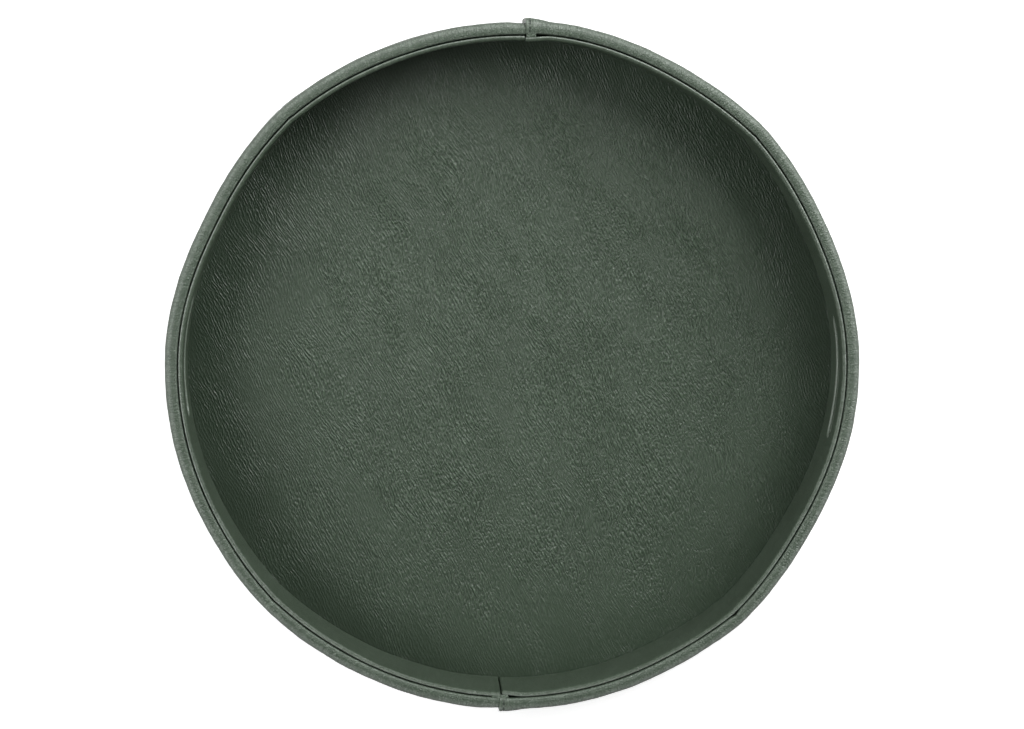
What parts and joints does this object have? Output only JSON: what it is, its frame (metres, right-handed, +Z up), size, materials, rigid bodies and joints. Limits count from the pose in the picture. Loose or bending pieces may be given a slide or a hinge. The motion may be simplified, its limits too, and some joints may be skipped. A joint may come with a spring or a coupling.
{
  "type": "folding dice tray",
  "caption": "Round dice tray: leather-covered disc base with a magnetic lift-off hoop that folds flat at seams and creases, with a handle slot each side.",
  "frame": {"origin": "centre of the flat underside of the base disc", "axes": "+Z up out of the tray's open top, +X towards the right handle slot, +Y towards the back seam of the hoop"},
  "size_m": [0.25, 0.2516, 0.035],
  "materials": {
    "rolling_leather": "glossy wrinkled grain faux leather, dark green",
    "band_leather": "satin fine grain faux leather, dark green",
    "lining_leather": "satin fine grain faux leather, dark green",
    "underside_fabric": "matt non-slip cloth backing",
    "board": "raw grey board",
    "foam": "thin soft foam padding",
    "magnet": "nickel plated"
  },
  "bodies": {
    "base": {"base_underside": "underside_fabric", "base_board": "board", "base_foam": "foam", "rolling_surface": "rolling_leather", "base_magnets": "magnet"},
    "back_seam": {"back_seam_web": "band_leather"},
    "right_panel_1": {"right_band_1": "band_leather", "right_board_1": "board", "right_lining_1": "lining_leather"},
    "right_panel_2": {"right_band_2": "band_leather", "right_board_2": "board", "right_lining_2": "lining_leather", "right_hoop_magnet_2": "magnet"},
    "right_panel_3": {"right_band_3": "band_leather", "right_board_3": "board", "right_lining_3": "lining_leather"},
    "right_panel_4": {"right_band_4": "band_leather", "right_board_4": "board", "right_lining_4": "lining_leather"},
    "right_panel_5": {"right_band_5": "band_leather", "right_board_5": "board", "right_lining_5": "lining_leather"},
    "right_panel_6": {"right_band_6": "band_leather", "right_board_6": "board", "right_lining_6": "lining_leather"},
    "right_panel_7": {"right_band_7": "band_leather", "right_board_7": "board", "right_lining_7": "lining_leather", "right_hoop_magnet_7": "magnet"},
    "right_panel_8": {"right_band_8": "band_leather", "right_board_8": "board", "right_lining_8": "lining_leather", "front_seam_web": "band_leather"},
    "left_panel_1": {"left_band_1": "band_leather", "left_board_1": "board", "left_lining_1": "lining_leather"},
    "left_panel_2": {"left_band_2": "band_leather", "left_board_2": "board", "left_lining_2": "lining_leather", "left_hoop_magnet_2": "magnet"},
    "left_panel_3": {"left_band_3": "band_leather", "left_board_3": "board", "left_lining_3": "lining_leather"},
    "left_panel_4": {"left_band_4": "band_leather", "left_board_4": "board", "left_lining_4": "lining_leather"},
    "left_panel_5": {"left_band_5": "band_leather", "left_board_5": "board", "left_lining_5": "lining_leather"},
    "left_panel_6": {"left_band_6": "band_leather", "left_board_6": "board", "left_lining_6": "lining_leather"},
    "left_panel_7": {"left_band_7": "band_leather", "left_board_7": "board", "left_lining_7": "lining_leather", "left_hoop_magnet_7": "magnet"},
    "left_panel_8": {"left_band_8": "band_leather", "left_board_8": "board", "left_lining_8": "lining_leather"}
  },
  "joints": [
    {"name": "hoop_lift", "type": "slide", "parent": "base", "child": "back_seam", "axis": [0, 0, 1], "range_m": [0, 0.06]},
    {"name": "right_back_seam_fold", "type": "hinge", "parent": "back_seam", "child": "right_panel_1", "pos_m": [0.0006, 0.125, 0.02], "axis": [0, 0, 1], "range_deg": [0, 91.09]},
    {"name": "right_back_gusset_flex", "type": "hinge", "parent": "right_panel_1", "child": "right_panel_2", "pos_m": [0.0471, 0.11579, 0.02], "axis": [0, 0, 1], "range_deg": [0, 19.69]},
    {"name": "right_back_crease", "type": "hinge", "parent": "right_panel_2", "child": "right_panel_3", "pos_m": [0.08246, 0.08539, 0.02], "axis": [0, 0, 1], "range_deg": [-141.82, 0]},
    {"name": "right_back_handle_flex", "type": "hinge", "parent": "right_panel_3", "child": "right_panel_4", "pos_m": [0.11506, 0.04884, 0.02], "axis": [0, 0, 1], "range_deg": [0, 20.71]},
    {"name": "right_handle_middle_flex", "type": "hinge", "parent": "right_panel_4", "child": "right_panel_5", "pos_m": [0.125, 0, 0.02], "axis": [0, 0, 1], "range_deg": [0, 20.71]},
    {"name": "right_front_handle_flex", "type": "hinge", "parent": "right_panel_5", "child": "right_panel_6", "pos_m": [0.11506, -0.04884, 0.02], "axis": [0, 0, 1], "range_deg": [0, 20.71]},
    {"name": "right_front_crease", "type": "hinge", "parent": "right_panel_6", "child": "right_panel_7", "pos_m": [0.08246, -0.08539, 0.02], "axis": [0, 0, 1], "range_deg": [-141.82, 0]},
    {"name": "right_front_gusset_flex", "type": "hinge", "parent": "right_panel_7", "child": "right_panel_8", "pos_m": [0.0471, -0.11579, 0.02], "axis": [0, 0, 1], "range_deg": [0, 19.69]},
    {"name": "left_back_seam_fold", "type": "hinge", "parent": "back_seam", "child": "left_panel_1", "pos_m": [-0.0006, 0.125, 0.02], "axis": [0, 0, -1], "range_deg": [0, 91.1]},
    {"name": "left_back_gusset_flex", "type": "hinge", "parent": "left_panel_1", "child": "left_panel_2", "pos_m": [-0.0471, 0.11579, 0.02], "axis": [0, 0, -1], "range_deg": [0, 19.69]},
    {"name": "left_back_crease", "type": "hinge", "parent": "left_panel_2", "child": "left_panel_3", "pos_m": [-0.08246, 0.08539, 0.02], "axis": [0, 0, -1], "range_deg": [-141.82, 0]},
    {"name": "left_back_handle_flex", "type": "hinge", "parent": "left_panel_3", "child": "left_panel_4", "pos_m": [-0.11506, 0.04884, 0.02], "axis": [0, 0, -1], "range_deg": [0, 20.71]},
    {"name": "left_handle_middle_flex", "type": "hinge", "parent": "left_panel_4", "child": "left_panel_5", "pos_m": [-0.125, 0, 0.02], "axis": [0, 0, -1], "range_deg": [0, 20.71]},
    {"name": "left_front_handle_flex", "type": "hinge", "parent": "left_panel_5", "child": "left_panel_6", "pos_m": [-0.11506, -0.04884, 0.02], "axis": [0, 0, -1], "range_deg": [0, 20.71]},
    {"name": "left_front_crease", "type": "hinge", "parent": "left_panel_6", "child": "left_panel_7", "pos_m": [-0.08246, -0.08539, 0.02], "axis": [0, 0, -1], "range_deg": [-141.82, 0]},
    {"name": "left_front_gusset_flex", "type": "hinge", "parent": "left_panel_7", "child": "left_panel_8", "pos_m": [-0.0471, -0.11579, 0.02], "axis": [0, 0, -1], "range_deg": [0, 19.69]}
  ],
  "couplings": [
    {"joint": "right_back_gusset_flex", "follows": "right_back_seam_fold", "ratio": 0.21602},
    {"joint": "right_back_crease", "follows": "right_back_seam_fold", "ratio": -1.5569},
    {"joint": "right_back_handle_flex", "follows": "right_back_seam_fold", "ratio": 0.22726},
    {"joint": "right_handle_middle_flex", "follows": "right_back_seam_fold", "ratio": 0.22726},
    {"joint": "right_front_handle_flex", "follows": "right_back_seam_fold", "ratio": 0.22726},
    {"joint": "right_front_crease", "follows": "right_back_seam_fold", "ratio": -1.5569},
    {"joint": "right_front_gusset_flex", "follows": "right_back_seam_fold", "ratio": 0.21602},
    {"joint": "left_back_seam_fold", "follows": "right_back_seam_fold", "ratio": 1},
    {"joint": "left_back_gusset_flex", "follows": "right_back_seam_fold", "ratio": 0.21602},
    {"joint": "left_back_crease", "follows": "right_back_seam_fold", "ratio": -1.5569},
    {"joint": "left_back_handle_flex", "follows": "right_back_seam_fold", "ratio": 0.22726},
    {"joint": "left_handle_middle_flex", "follows": "right_back_seam_fold", "ratio": 0.22726},
    {"joint": "left_front_handle_flex", "follows": "right_back_seam_fold", "ratio": 0.22726},
    {"joint": "left_front_crease", "follows": "right_back_seam_fold", "ratio": -1.5569},
    {"joint": "left_front_gusset_flex", "follows": "right_back_seam_fold", "ratio": 0.21602}
  ]
}
